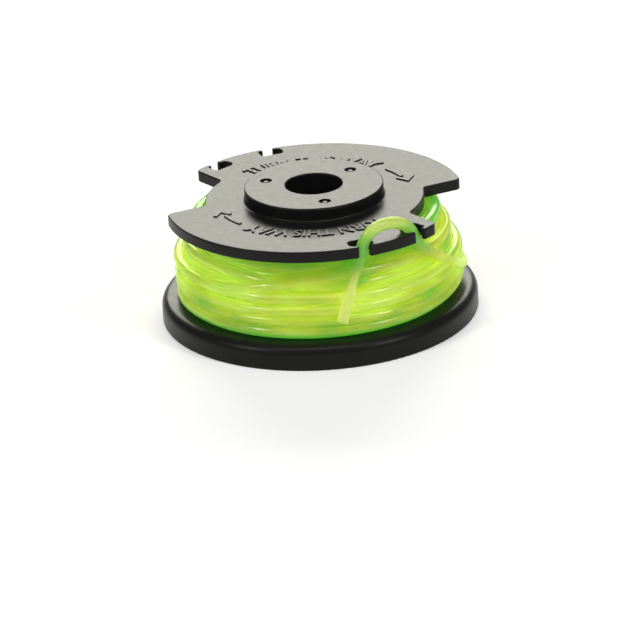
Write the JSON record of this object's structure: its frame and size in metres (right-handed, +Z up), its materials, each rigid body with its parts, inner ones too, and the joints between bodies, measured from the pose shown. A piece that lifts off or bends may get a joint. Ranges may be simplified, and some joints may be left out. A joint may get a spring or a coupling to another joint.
{
  "type": "trimmer line spool",
  "caption": "Moulded spool with a notched upper flange, wider lower flange and central bore, holding a wound length of translucent cutting line.",
  "frame": {"origin": "on the bore's axis, at the foot of the lower flange", "axes": "+Z up along the bore towards the boss, -Y towards the tab that the line's end loops over"},
  "size_m": [0.0636, 0.0634, 0.0283],
  "materials": {
    "spool_plastic": "satin black moulding with fine grain",
    "line_nylon": "translucent lime monofilament"
  },
  "bodies": {
    "root": {"spool_body": "spool_plastic", "line_winding": "line_nylon", "line_end": "line_nylon"}
  },
  "joints": []
}
